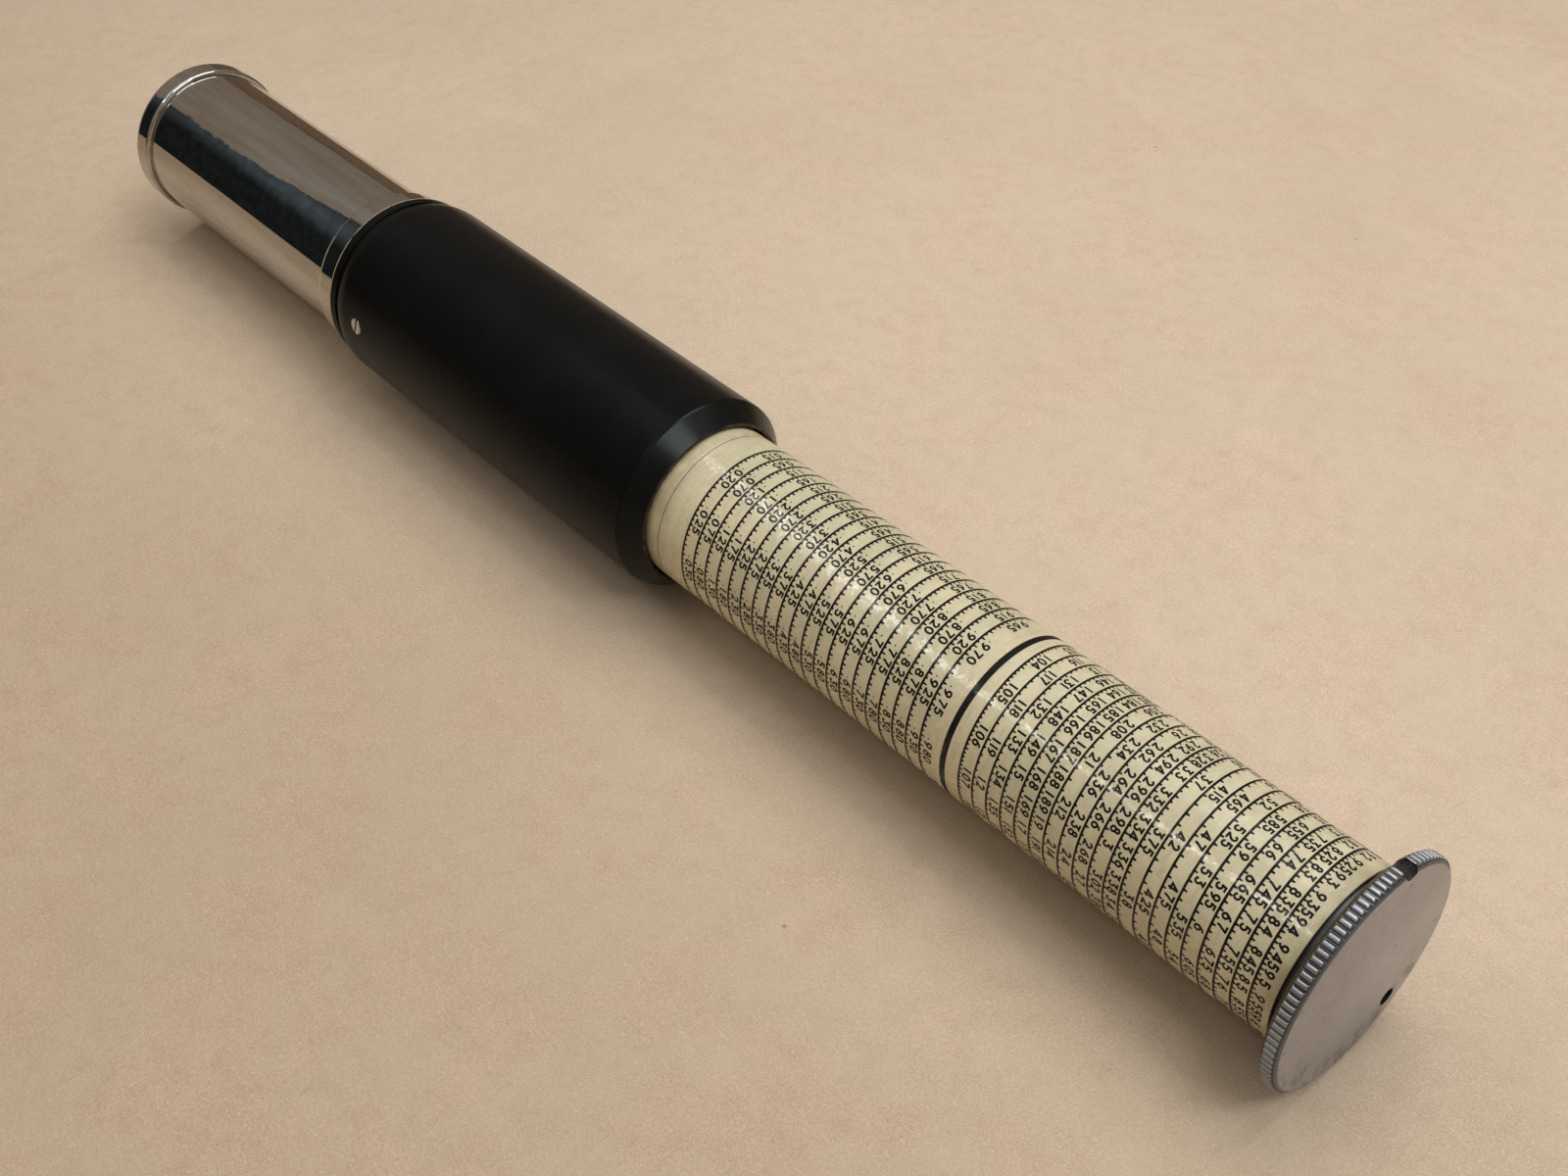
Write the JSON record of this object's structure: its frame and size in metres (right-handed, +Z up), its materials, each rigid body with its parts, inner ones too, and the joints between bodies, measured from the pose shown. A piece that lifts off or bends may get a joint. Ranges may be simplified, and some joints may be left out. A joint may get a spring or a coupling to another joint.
{
  "type": "cylindrical slide rule",
  "caption": "Pocket cylindrical slide rule: a bright tubular holder, a drawn-out cylinder with printed spiral scales and a knurled cap, and a black tubular cursor.",
  "frame": {"origin": "on the ground under the middle of the instrument's length, with the cylinder drawn right out and the cursor home", "axes": "+X along the common axis from the handle's closed end to the knurled cap, +Z up, the axis lying level"},
  "size_m": [0.2614, 0.0326, 0.0326],
  "materials": {
    "nickel_plate": "polished nickel plate on brass",
    "dull_nickel": "dull, worn plate",
    "satin_nickel": "satin plate, fine straight knurl",
    "plain_brass": "turned, unplated",
    "scale_paper": "varnished printed paper",
    "cork": "plain cork",
    "felt": "pressed felt",
    "black_lacquer": "satin black lacquer on brass",
    "spring_steel": "plain",
    "screw_steel": "bright turned steel"
  },
  "bodies": {
    "holder": {"handle_tube": "nickel_plate", "handle_end_cap": "nickel_plate", "holder_collar": "nickel_plate", "lower_scale_sleeve": "scale_paper", "holder_mouth_ring": "nickel_plate"},
    "brake": {"brake_spindle": "plain_brass", "brake_cork_ring": "cork", "brake_stop_washer": "plain_brass", "brake_spindle_nut": "plain_brass"},
    "cylinder": {"cylinder_tube": "dull_nickel", "upper_scale_sleeve": "scale_paper", "cylinder_end_plate": "plain_brass", "knurled_cap": "satin_nickel"},
    "lining": {"cursor_rear_felt": "felt", "cursor_front_felt": "felt"},
    "cursor": {"cursor_barrel": "black_lacquer", "cursor_rear_ring": "black_lacquer", "cursor_rear_split_ring": "spring_steel", "cursor_front_split_ring": "spring_steel", "cursor_screw": "screw_steel"}
  },
  "joints": [
    {"name": "cylinder_slide", "type": "slide", "parent": "holder", "child": "brake", "axis": [1, 0, 0], "range_m": [-0.058, 0]},
    {"name": "cylinder_turn", "type": "hinge", "parent": "brake", "child": "cylinder", "pos_m": [0, 0, 0.0163], "axis": [1, 0, 0], "continuous": true},
    {"name": "cursor_slide", "type": "slide", "parent": "holder", "child": "lining", "axis": [1, 0, 0], "range_m": [0, 0.052]},
    {"name": "cursor_turn", "type": "hinge", "parent": "lining", "child": "cursor", "pos_m": [0, 0, 0.0163], "axis": [1, 0, 0], "continuous": true}
  ]
}
